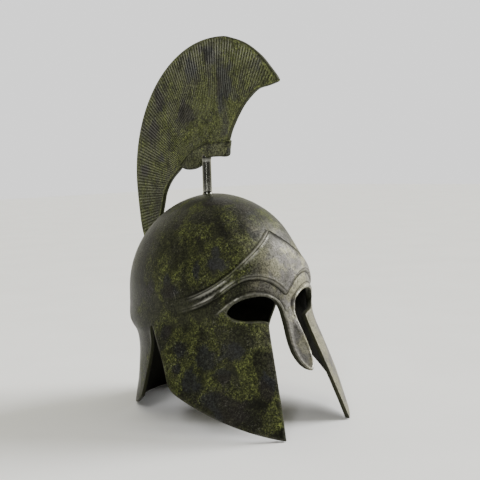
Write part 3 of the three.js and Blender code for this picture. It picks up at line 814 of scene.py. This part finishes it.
def crest_plume():
    line = plume_path()
    at, inner, outer = plume_spans(line)
    wide = outer - inner > 2.2 * PLUME["edge"]
    at, inner, outer = at[wide], inner[wide], outer[wide]
    rows, turns = RIBS["rows"], np.radians(np.arange(15, 180, 30))
    share = (1 - np.cos(np.linspace(0, math.pi, rows))) / 2 * 0.35 + np.linspace(0, 1, rows) * 0.65
    loops = []
    for angle, low, high in zip(at, inner, outer):
        reach, depth = rib_loop(low, high, share, turns)
        y, z = RIBS["y"] + reach * math.cos(angle), RIBS["z"] + reach * math.sin(angle)
        loops.append(np.stack([depth, y, z], axis=1))
    size, back, points = len(loops[0]), rows + len(turns), np.vstack(loops)
    caps = [(i, i + 1, back + rows - 2 - i, back + rows - 1 - i) for i in range(rows - 1)]
    caps += [tuple(range(rows - 1, back + 1)), (0, *range(back + rows - 1, size))]
    faces = tube(len(loops), size)
    faces += [tuple(base + i for i in cap) for base in (0, len(points) - size) for cap in caps]
    body = mesh_piece("plume_plate", points, faces)

    margin = distance_to_line(points[:, 1:], line[::2])
    side = np.where(np.abs(points[:, 0]) > PLUME["thickness"] / 2 - 1e-6, np.sign(points[:, 0]), 0)
    holder = distance_to_line(points[:, 1:], even(holder_path(), 1.0, closed=True))
    near_inner = np.zeros(size)
    near_inner[:rows // 2] = near_inner[back + rows // 2:] = 1
    rim = np.tile(near_inner, len(loops)) * hump(margin, 1.6, 1.3)
    seam = hump(holder, 0.6, 1.5) + 0.55 * rim
    green = np.clip(plume_cover(points, PLUME_GREEN) + 1.3 * seam, 0, 1.6)
    store(body, margin=margin, around=np.repeat(at, size), side=side, sunk=0, worn=0, dark=0,
          cut=side == 0, green=green, dusk=plume_cover(points, PLUME_DUSK))
    return body


def holder_path():
    return joined(spline(HOLDER_TOP), spline(HOLDER_FOOT)[::-1])


def holder_flat():
    """The holder's outline in side view, and points of its skin inside it."""
    line = even(rounded(even(holder_path(), 0.4, closed=True), 8), 0.9, closed=True)
    ahead = heading(line)
    inward = np.stack([-ahead[:, 1], ahead[:, 0]], axis=1)
    turning = (line[:, 0] * np.roll(line[:, 1], -1) - line[:, 1] * np.roll(line[:, 0], -1)).sum()
    inward = inward if turning > 0 else -inward
    rows = []
    for share in (0.06, 0.2, 0.4, 0.65, 1.0):
        row = line + inward * HOLDER["edge"] * share
        rows.append(row[distance_to_line(row, line) > 0.94 * HOLDER["edge"] * share])
    spans = [np.arange(low, high, SPACING["holder"]) for low, high in zip(line.min(0), line.max(0))]
    grid = np.stack(np.meshgrid(*spans), axis=-1).reshape(-1, 2)
    grid = grid[distance_to_line(grid, line) > HOLDER["edge"] + 0.9]
    inner = np.vstack([*rows, grid])
    return line, inner[inside_polygon(inner, line)]


def holder_plate():
    """The thick band under the plume: two skins that meet along its outline, with a fuller heel."""
    line, inner = holder_flat()
    flat, faces, olds = filled(line, inner)
    own = np.array([all(old >= len(line) for old in ids) for ids in olds])
    gap = distance_to_line(flat, line)
    seam = distance_to_line(flat, spline(HOLDER_TOP), closed=False)
    y, z = flat.T
    heel = np.exp(-(((y - HEEL["y"]) / HEEL["long"]) ** 2) - ((z - HEEL["z"]) / HEEL["tall"]) ** 2)
    share = np.clip(gap / HOLDER["edge"], 0, 1)
    x = HOLDER["thickness"] / 2 + HEEL["full"] * heel * blend_in(0, 6, gap)
    x = x * np.sqrt(1 - (1 - share) ** 2) - HOLDER["groove"] * hump(seam, HOLDER["groove_at"], 0.8)
    x[~own] = 0
    mate = np.arange(len(flat))
    mate[own] = len(flat) + np.arange(own.sum())
    points = np.vstack([np.column_stack([x, flat]), np.column_stack([-x, flat])[own]])
    faces += [tuple(mate[i] for i in triangle[::-1]) for triangle in faces]
    body = mesh_piece("holder_band", points, faces)
    seam, z = np.r_[seam, seam[own]], np.r_[z, z[own]]
    sunk = hump(seam, HOLDER["groove_at"], 0.9) + 0.5 * blend_in(*FADES["under"], z)
    store(body, worn=0, sunk=sunk, dark=0, cut=0, green=2.6 * hump(seam, 0.6, 1.5), dusk=0)
    return body


def post_profile(foot_z):
    """Radii and heights of the rod, from its soldered foot up to the neck in the holder."""
    radius, floor = POST["radius"], HOLDER["floor"]
    foot = [(0.2, -6), (POST["foot"] + 1.6, -5.5), (POST["foot"] + 1.4, -1.2), (POST["foot"], 0.2),
            (radius + 0.35, 1.4), (radius - 0.35, 2.1), (radius, 2.8)]
    neck = [(radius + 0.1, -3.4), (radius + 0.5, -POST["neck"]), (radius + 0.6, 0.4),
            (radius - 1.2, 4), (0.2, 4)]
    rod = [(radius, z) for z in np.linspace(foot_z + 4, floor - 4.5, 16)]
    return [(r, foot_z + z) for r, z in foot] + rod + [(r, floor + z) for r, z in neck]


def crest_post(foot_z):
    """A turned rod with a small soldered foot on the bowl and a neck under the holder."""
    profile, count = post_profile(foot_z), POST["sides"]
    turn = np.linspace(0, 2 * math.pi, count, endpoint=False)
    points = []
    for r, z in profile:
        limit = HOLDER["thickness"] / 2 - 0.4 if z > HOLDER["floor"] + 1 else r
        x = np.clip(r * np.cos(turn), -limit, limit)
        points.append(np.stack([x, POST["y"] + r * np.sin(turn), np.full(count, z)], axis=1))
    points = np.vstack(points)
    top = len(points) - count
    faces = tube(len(profile), count) + [tuple(range(count)), tuple(range(top, len(points)))]
    body = mesh_piece("post_rod", points, faces)
    sunk = hump(points[:, 2], foot_z + 2.0, 1.0) + hump(points[:, 2], HOLDER["floor"] - 1.0, 2.0)
    store(body, sunk=np.clip(sunk, 0, 1))
    return body


def crown_height():
    """Height of the bowl where the post stands."""
    drops = np.linspace(0.004, 0.4, 200)
    ridge = shell_point(math.pi, drops)
    return float(shell_point(math.pi, np.interp(POST["y"], ridge[:, 1], drops))[2])


# Node trees


class Nodes:
    """A node tree, with short calls for the nodes used here."""

    def __init__(self, tree):
        self.tree = tree

    def link(self, value, slot):
        if isinstance(value, bpy.types.NodeSocket):
            self.tree.links.new(value, slot)
        elif isinstance(value, tuple) and len(slot.default_value) == 4:
            slot.default_value = (*value, 1.0)
        else:
            slot.default_value = value

    def node(self, kind, values=(), **settings):
        """A new node with its settings, and with values or links in its inputs."""
        made = self.tree.nodes.new(kind)
        for name, setting in settings.items():
            setattr(made, name, setting)
        for slot, value in dict(values).items():
            self.link(value, made.inputs[slot])
        return made

    def math(self, kind, *values, clamp=False):
        values = dict(enumerate(values))
        return self.node("ShaderNodeMath", values, operation=kind, use_clamp=clamp).outputs[0]

    def times(self, first, second, clamp=False):
        return self.math("MULTIPLY", first, second, clamp=clamp)

    def plus(self, first, second, clamp=False):
        return self.math("ADD", first, second, clamp=clamp)

    def less(self, first, second, clamp=False):
        return self.math("SUBTRACT", first, second, clamp=clamp)

    def on_top(self, base, value, factor):
        """Value times factor, on top of the base."""
        return self.plus(self.times(value, factor), base)

    def blend(self, first, second, share):
        """First and second mixed, by the share of the second."""
        return self.plus(self.times(first, self.less(1.0, share)), self.times(second, share))

    def ramp(self, value, low, high, first=0.0, last=1.0):
        """A smooth step from first to last, as the value goes from low to high."""
        values = {"Value": value, "From Min": low, "From Max": high, "To Min": first, "To Max": last}
        return self.node("ShaderNodeMapRange", values, interpolation_type="SMOOTHSTEP").outputs["Result"]

    def mix(self, share, first, second):
        values = {0: share, 6: first, 7: second}
        return self.node("ShaderNodeMix", values, data_type="RGBA").outputs[2]


# Ribs of the plume, pressed in by a tree with named sizes


def ribs_tree(material):
    """Presses fine ribs into a plate, and stores how far each place is sunk and worn."""
    tree = bpy.data.node_groups.new("plume_ribs", "GeometryNodeTree")
    face = tree.interface
    face.new_socket("Plate", in_out="INPUT", socket_type="NodeSocketGeometry")
    for name in ("Ribs per turn", "Depth", "Plain border"):
        face.new_socket(name, in_out="INPUT", socket_type="NodeSocketFloat")
    face.new_socket("Plate", in_out="OUTPUT", socket_type="NodeSocketGeometry")
    work = Nodes(tree)
    given = work.node("NodeGroupInput").outputs

    def read(name):
        kind = "GeometryNodeInputNamedAttribute"
        return work.node(kind, {"Name": name}, data_type="FLOAT").outputs["Attribute"]

    def kept(plate, name, value):
        values = {"Geometry": plate, "Name": name, "Value": value}
        kind = "GeometryNodeStoreNamedAttribute"
        return work.node(kind, values, data_type="FLOAT", domain="POINT").outputs["Geometry"]

    count = work.math("DIVIDE", given["Ribs per turn"], 2 * math.pi)
    phase = work.math("FRACT", work.times(read("around"), count))
    rib = work.math("SINE", work.times(phase, math.pi))
    room = work.less(read("margin"), given["Plain border"])
    fade = work.math("MINIMUM", work.math("MAXIMUM", work.math("DIVIDE", room, 2.0), 0.0), 1.0)
    notch = work.times(work.less(1.0, rib), fade)
    crest = work.times(work.math("POWER", rib, 6.0), fade)
    rough = work.node("ShaderNodeTexNoise", {"Scale": 60}).outputs[0]
    depth = work.times(notch, work.times(given["Depth"], work.on_top(0.45, rough, 0.9)))
    inward = work.times(work.times(depth, read("side")), -1.0)
    offset = work.node("ShaderNodeCombineXYZ", {0: inward}).outputs[0]
    plate = kept(given["Plate"], "sunk", work.times(notch, 0.8))
    plate = kept(plate, "worn", work.times(crest, 0.14))
    for kind, values in (("SetPosition", {"Offset": offset}), ("RealizeInstances", {}),
                         ("SetMaterial", {"Material": material})):
        plate = work.node("GeometryNode" + kind, {"Geometry": plate, **values}).outputs["Geometry"]
    work.node("NodeGroupOutput", {"Plate": plate})
    return tree


def pressed(body, tree, sizes):
    """The body with the tree's result as its plain mesh."""
    modifier = body.modifiers.new("ribs", "NODES")
    modifier.node_group = tree
    for item in tree.interface.items_tree:
        if item.item_type == "SOCKET" and item.in_out == "INPUT" and item.name in sizes:
            modifier[item.identifier] = float(sizes[item.name])
    bpy.context.view_layer.update()
    shaped = body.evaluated_get(bpy.context.evaluated_depsgraph_get())
    mesh = bpy.data.meshes.new_from_object(shaped)
    body.modifiers.remove(modifier)
    body.data = mesh
    return body


# Finishes


class Finish(Nodes):
    """A material's nodes, with its noise textures by name."""

    def __init__(self, name):
        self.material = bpy.data.materials.new(name)
        self.material.use_nodes = True
        super().__init__(self.material.node_tree)
        self.tree.nodes.clear()
        self.place = self.node("ShaderNodeTexCoord").outputs["Object"]

    def noise(self, name):
        scale, detail, rough, warp, *placing = NOISES[name]
        where = self.place
        if placing:
            values = {"Vector": where, "Scale": placing[0], "Location": placing[1]}
            where = self.node("ShaderNodeMapping", values).outputs[0]
        values = {"Vector": where, "Scale": scale, "Detail": detail, "Roughness": rough,
                  "Distortion": warp}
        return self.node("ShaderNodeTexNoise", values).outputs["Fac"]

    def read(self, name):
        return self.node("ShaderNodeAttribute", attribute_name=name).outputs["Fac"]

    def bump(self, height, strength, distance):
        values = {"Height": height, "Strength": strength, "Distance": distance}
        return self.node("ShaderNodeBump", values).outputs["Normal"]

    def scaled(self, colour, factor):
        values = {0: colour, "Scale": factor}
        return self.node("ShaderNodeVectorMath", values, operation="SCALE").outputs[0]

    def surface(self, colour, metal, rough, normal, sheen=0.5):
        values = {"Base Color": colour, "Metallic": metal, "Roughness": rough, "Normal": normal,
                  "Specular IOR Level": sheen, "Specular Tint": (1.0, 0.98, 0.78)}
        shader = self.node("ShaderNodeBsdfPrincipled", values)
        self.node("ShaderNodeOutputMaterial", {0: shader.outputs[0]})
        return self.material


BLACK_BRONZE = (0.0050, 0.0052, 0.0040)
OLIVE_BRONZE = (0.020, 0.022, 0.011)
MOSS_BRONZE = (0.050, 0.054, 0.026)
DUSK_BRONZE = (0.014, 0.0122, 0.0122)
SLATE_BRONZE = (0.0155, 0.0165, 0.019)
GREEN_RUST = (0.060, 0.070, 0.021)
BRIGHT_RUST = (0.15, 0.175, 0.045)
PALE_FLECK = (0.12, 0.12, 0.10)
KHAKI_BRONZE = (0.20, 0.19, 0.135)
MAUVE_BRONZE = (0.115, 0.108, 0.105)
# Pale bare bronze of worn ridges, which also stands for painted highlights on them.
BARE_BRONZE_AND_GLINT = (0.52, 0.51, 0.45)
INSIDE = (0.006, 0.006, 0.004)
PALE_POLISH = (0.22, 0.22, 0.20)
DARK_POLISH = (0.07, 0.07, 0.06)
GREY_FLOOR = (0.90, 0.90, 0.90)
PALE_FLOOR = (0.93, 0.93, 0.93)

# Noise textures: how fine, detail, roughness, warp, and maybe how the place is stretched and shifted.
NOISES = {"grain": (400, 3, 0.7, 0), "fine": (740, 2, 0.6, 0), "clouds": (20, 4, 0.6, 0.5),
          "dusk": (34, 2, 0.5, 0.6, (1, 1, 0.7), (3, 1, 2)), "dusk_edge": (150, 4, 0.7, 0),
          "slate": (15, 2, 0.5, 0.3, (1, 1, 1), (9, 4, 6)),
          "blot": (30, 5, 0.62, 0.8, (1, 1, 0.75), (5, 2, 1)),
          "drip": (60, 3, 0.6, 0.4, (1, 1, 0.2), (1, 7, 4)),
          "clump": (120, 5, 0.72, 0.3), "crackle": (95, 7, 0.78, 0.6),
          "pitted": (44, 3, 0.6, 0.5, (1, 1, 1), (2, 8, 5)), "flecks": (700, 2, 0.6, 0),
          "pits": (520, 2, 0.6, 0, (1, 1, 1), (4, 4, 4)), "wander": (26, 4, 0.6, 0),
          "mottle": (120, 4, 0.7, 0), "hue": (38, 3, 0.6, 0.4, (1, 1, 1), (6, 6, 1)),
          "worn": (60, 3, 0.6, 0), "rough": (90, 3, 0.6, 0), "dents": (40, 3, 0.5, 0),
          "smear": (30, 4, 0.6, 0.5, (1, 1, 0.35), (0, 0, 0)), "spots": (260, 3, 0.7, 0),
          "scratches": (160, 3, 0.6, 0), "floor": (6, 3, 0.5, 0), "floor_grain": (120, 2, 0.5, 0)}


class Patina(Finish):
    """Old bronze in layers: each takes the colour under it and gives the colour with it."""

    def __init__(self, name):
        super().__init__(name)
        self.grain, self.fine = self.noise("grain"), self.noise("fine")
        self.x, self.y, self.z = self.node("ShaderNodeSeparateXYZ", {0: self.place}).outputs
        self.dark, self.sunk = self.read("dark"), self.read("sunk")

    def ground(self, low, high):
        """Cloudy bronze with dusky patches."""
        clouds = self.blend(self.noise("clouds"), self.grain, 0.35)
        colour = self.mix(self.ramp(clouds, 0.40, 0.60), low, high)
        field = self.blend(self.noise("dusk"), self.noise("dusk_edge"), 0.35)
        field = self.plus(field, self.times(self.read("dusk"), 0.30))
        self.dusk = self.times(self.ramp(field, 0.58, 0.70), 0.9)
        slate = self.ramp(self.noise("slate"), 0.47, 0.56)
        return self.mix(self.dusk, colour, self.mix(slate, DUSK_BRONZE, SLATE_BRONZE))

    def rusted(self, colour, rust, spread):
        """Speckled green rust in patches, with brighter grains and black cracks."""
        drips = self.times(self.ramp(self.z, 0.13, 0.16), 0.45)
        field = self.blend(self.noise("blot"), self.noise("drip"), drips)
        field = self.plus(field, self.times(self.read("green"), 0.2))
        area = self.ramp(field, 0.48 - spread, 0.64 - spread)
        area = self.times(area, self.less(1.0, self.dusk))
        clump = self.ramp(self.noise("clump"), 0.40, 0.60)
        speckle = self.ramp(self.blend(self.grain, self.fine, 0.5), 0.38, 0.60)
        speckle = self.times(speckle, self.on_top(0.25, clump, 0.75))
        cover = self.times(area, self.on_top(0.3, speckle, 0.7))
        self.cover = self.times(cover, rust, clamp=True)
        colour = self.mix(self.cover, colour, GREEN_RUST)
        bright = self.times(self.ramp(self.blend(self.fine, self.grain, 0.4), 0.54, 0.66), area)
        bright = self.times(self.times(bright, clump), 0.6 * rust)
        colour = self.mix(bright, colour, BRIGHT_RUST)
        crackle = self.ramp(self.noise("crackle"), 0.51, 0.59)
        return self.mix(self.times(crackle, 0.6), colour, BLACK_BRONZE)

    def pitted(self, colour):
        """Pale flecks and black pits in some places."""
        place = self.ramp(self.noise("pitted"), 0.42, 0.62)
        flecks = self.times(self.ramp(self.noise("flecks"), 0.56, 0.68), place)
        self.pits = self.times(self.ramp(self.noise("pits"), 0.54, 0.66), place)
        colour = self.mix(self.times(flecks, 0.45), colour, PALE_FLECK)
        return self.mix(self.times(self.pits, 0.8), colour, BLACK_BRONZE)

    def bared(self, colour, front):
        """The pale front, rubbed from the middle to the left."""
        wander = self.times(self.less(self.noise("wander"), 0.5), 0.07)
        ahead = self.ramp(self.plus(self.times(self.y, -1.0), wander), 0.066, 0.098)
        lean = self.ramp(self.plus(self.x, wander), -0.050, 0.010)
        mottle = self.ramp(self.blend(self.noise("mottle"), self.grain, 0.4), 0.36, 0.58)
        pale_share = self.times(self.times(ahead, lean), front)
        self.pale_share = self.times(pale_share, self.on_top(0.55, mottle, 0.45))
        hue = self.ramp(self.noise("hue"), 0.44, 0.58)
        hue = self.plus(hue, self.times(self.less(1.0, lean), 0.6), clamp=True)
        brow = self.times(self.ramp(self.x, -0.005, 0.045), self.ramp(self.z, 0.12, 0.15))
        bronze = self.scaled(self.mix(hue, MAUVE_BRONZE, KHAKI_BRONZE), self.on_top(1.0, brow, 0.5))
        return self.mix(self.pale_share, colour, bronze)

    def salted(self, colour, tone):
        """Light and dark grains, fewer on the rubbed front."""
        salt = self.ramp(self.blend(self.grain, self.fine, 0.5), 0.36, 0.64)
        salt = self.blend(self.on_top(0.35, salt, 1.45), 1.0, self.times(self.pale_share, 0.6))
        return self.scaled(colour, self.times(salt, tone))

    def handled(self, colour):
        """Cut edges, worn ridges that are partly painted highlight, sunk lines that are partly painted
        shade, and the dark inside.
        """
        colour = self.mix(self.times(self.read("cut"), 0.85), colour, OLIVE_BRONZE)
        worn = self.times(self.read("worn"), self.ramp(self.noise("worn"), 0.36, 0.56))
        plume_top = self.times(self.ramp(self.z, 0.37, 0.41), 2.0)
        self.worn = self.times(worn, self.plus(1.0, plume_top), clamp=True)
        # Pale worn ridges, partly painted highlight.
        colour = self.mix(self.times(self.worn, 0.8), colour, BARE_BRONZE_AND_GLINT)
        # Black in sunk lines, partly painted shade.
        colour = self.mix(self.times(self.sunk, 0.85, clamp=True), colour, BLACK_BRONZE)
        return self.mix(self.dark, colour, INSIDE)

    def finished(self, colour):
        dull = self.math("MAXIMUM", self.dark, self.sunk)
        metal = self.plus(self.times(self.pale_share, 0.35), self.times(self.worn, 0.5))
        metal = self.times(metal, self.less(1.0, dull, clamp=True), clamp=True)
        rough = self.on_top(0.34, self.cover, 0.25)
        rough = self.plus(rough, self.times(self.noise("rough"), 0.16))
        rough = self.less(rough, self.times(self.worn, 0.26))
        rough = self.plus(rough, self.times(dull, 0.35), clamp=True)
        height = self.times(self.blend(self.grain, self.fine, 0.3), 0.8)
        height = self.plus(height, self.times(self.cover, 0.35))
        height = self.less(height, self.times(self.pits, 0.5))
        height = self.plus(height, self.times(self.noise("dents"), 1.2))
        return self.surface(colour, metal, rough, self.bump(height, 0.35, 0.0011), 0.15)


def patina(name, rust=1.0, front=1.0, low=BLACK_BRONZE, high=OLIVE_BRONZE, spread=0.0, tone=1.0):
    """Dark bronze with speckled green rust, dusky patches, a pale rubbed front, and pale edges that are
    partly wear and partly painted highlight.
    """
    look = Patina(name)
    colour = look.rusted(look.ground(low, high), rust, spread)
    colour = look.bared(look.pitted(colour), front)
    return look.finished(look.handled(look.salted(colour, tone)))


def polished_metal():
    look = Finish("polished_post")
    colour = look.mix(look.ramp(look.noise("smear"), 0.35, 0.7), PALE_POLISH, DARK_POLISH)
    spots = look.ramp(look.noise("spots"), 0.58, 0.70)
    colour = look.mix(look.times(spots, 0.35), colour, GREEN_RUST)
    colour = look.mix(look.times(look.read("sunk"), 0.8), colour, BLACK_BRONZE)
    normal = look.bump(look.noise("scratches"), 0.06, 0.0006)
    return look.surface(colour, 0.95, look.on_top(0.09, spots, 0.25), normal)


def plain_floor():
    look = Finish("pale_floor")
    colour = look.mix(look.ramp(look.noise("floor"), 0.3, 0.7), GREY_FLOOR, PALE_FLOOR)
    return look.surface(colour, 0.0, 0.75, look.bump(look.noise("floor_grain"), 0.05, 0.0005))


# Studio


def floor_and_air():
    mesh = bpy.data.meshes.new("floor")
    corners = [(a * FLOOR_REACH, b * FLOOR_REACH, 0) for a, b in ((-1, -1), (1, -1), (1, 1), (-1, 1))]
    mesh.from_pydata(corners, [], [(0, 1, 2, 3)])
    floor = bpy.data.objects.new("floor", mesh)
    floor.location.z = -FLOOR_DROP
    mesh.materials.append(plain_floor())
    bpy.context.scene.collection.objects.link(floor)
    bpy.context.scene.world = studio_air()


def studio_air():
    """Pale air. Its light is dim in front on the left and bright behind, so that outlines gleam."""
    world = bpy.data.worlds.new("studio_air")
    world.use_nodes = True
    air = Nodes(world.node_tree)
    place = air.node("ShaderNodeTexCoord").outputs["Generated"]
    values = {0: place, 1: AIR["toward"]}
    facing = air.node("ShaderNodeVectorMath", values, operation="DOT_PRODUCT").outputs["Value"]
    lit = air.ramp(facing, -0.4, 0.95, AIR["near"], AIR["behind"])
    seen = air.node("ShaderNodeLightPath").outputs["Is Camera Ray"]
    back = world.node_tree.nodes["Background"]
    air.link(air.mix(seen, AIR["tint"], (1, 1, 1)), back.inputs["Color"])
    strength = air.node("ShaderNodeMix", {0: seen, 2: lit, 3: AIR["seen"]}).outputs[0]
    air.link(strength, back.inputs["Strength"])
    return world


def aimed(name, light, at, back):
    """Puts a light in a place, with its back towards a direction."""
    lamp = bpy.data.objects.new(name, light)
    lamp.location = at
    lamp.rotation_euler = Vector(back).to_track_quat("Z", "Y").to_euler()
    bpy.context.scene.collection.objects.link(lamp)


def sun_light(name, toward, strength, spread):
    """A broad, far light from a direction, so that the floor is lit evenly."""
    light = bpy.data.lights.new(name, "SUN")
    light.energy = strength
    light.angle = math.radians(spread)
    aimed(name, light, toward, toward)


def soft_light(name, at, aim, size, watts):
    light = bpy.data.lights.new(name, "AREA")
    light.shape = "RECTANGLE"
    light.size, light.size_y = size
    light.energy = watts
    aimed(name, light, at, Vector(at) - Vector(aim))


def photo_camera():
    data = bpy.data.cameras.new("photo_view")
    data.sensor_width = CAMERA["sensor"]
    data.lens = CAMERA["lens"]
    camera = bpy.data.objects.new("photo_view", data)
    camera.location = CAMERA["at"]
    camera.rotation_euler = [math.radians(angle) for angle in CAMERA["turned"]]
    bpy.context.scene.collection.objects.link(camera)
    bpy.context.scene.camera = camera


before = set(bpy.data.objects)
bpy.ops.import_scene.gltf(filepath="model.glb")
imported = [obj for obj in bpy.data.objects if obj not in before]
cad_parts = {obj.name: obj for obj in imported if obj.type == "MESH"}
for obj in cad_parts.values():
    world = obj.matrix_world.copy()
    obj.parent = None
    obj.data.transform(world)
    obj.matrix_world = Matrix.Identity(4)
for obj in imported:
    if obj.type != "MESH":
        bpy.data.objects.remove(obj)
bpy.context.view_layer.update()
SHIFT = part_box("helmet_shell")[0].y / METRE - CHEEK["tip_y"]

photo_camera()
floor_and_air()
sun_light("key_right", **KEY)
for lamp_name, lamp in LAMPS.items():
    soft_light(lamp_name, **lamp)

shell = helmet_shell()
shell.data.materials.append(patina("shell_bronze"))
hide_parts("helmet_shell")

plume_bronze = patina("plume_bronze", front=0.0, low=OLIVE_BRONZE, high=MOSS_BRONZE, spread=0.04,
                      tone=1.7)
plume = crest_plume()
plume = pressed(plume, ribs_tree(plume_bronze),
                {"Ribs per turn": RIBS["per_turn"], "Depth": RIBS["depth"] * METRE,
                 "Plain border": RIBS["border"]})
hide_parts("crest_plume")

holder = holder_plate()
holder.data.materials.append(patina("holder_bronze", rust=0.7, front=0.0, high=MOSS_BRONZE, tone=1.6))
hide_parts("crest_holder")

post = crest_post(crown_height())
post.data.materials.append(polished_metal())
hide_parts("crest_post")

for piece in (shell, plume, holder, post):
    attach(piece, "root")
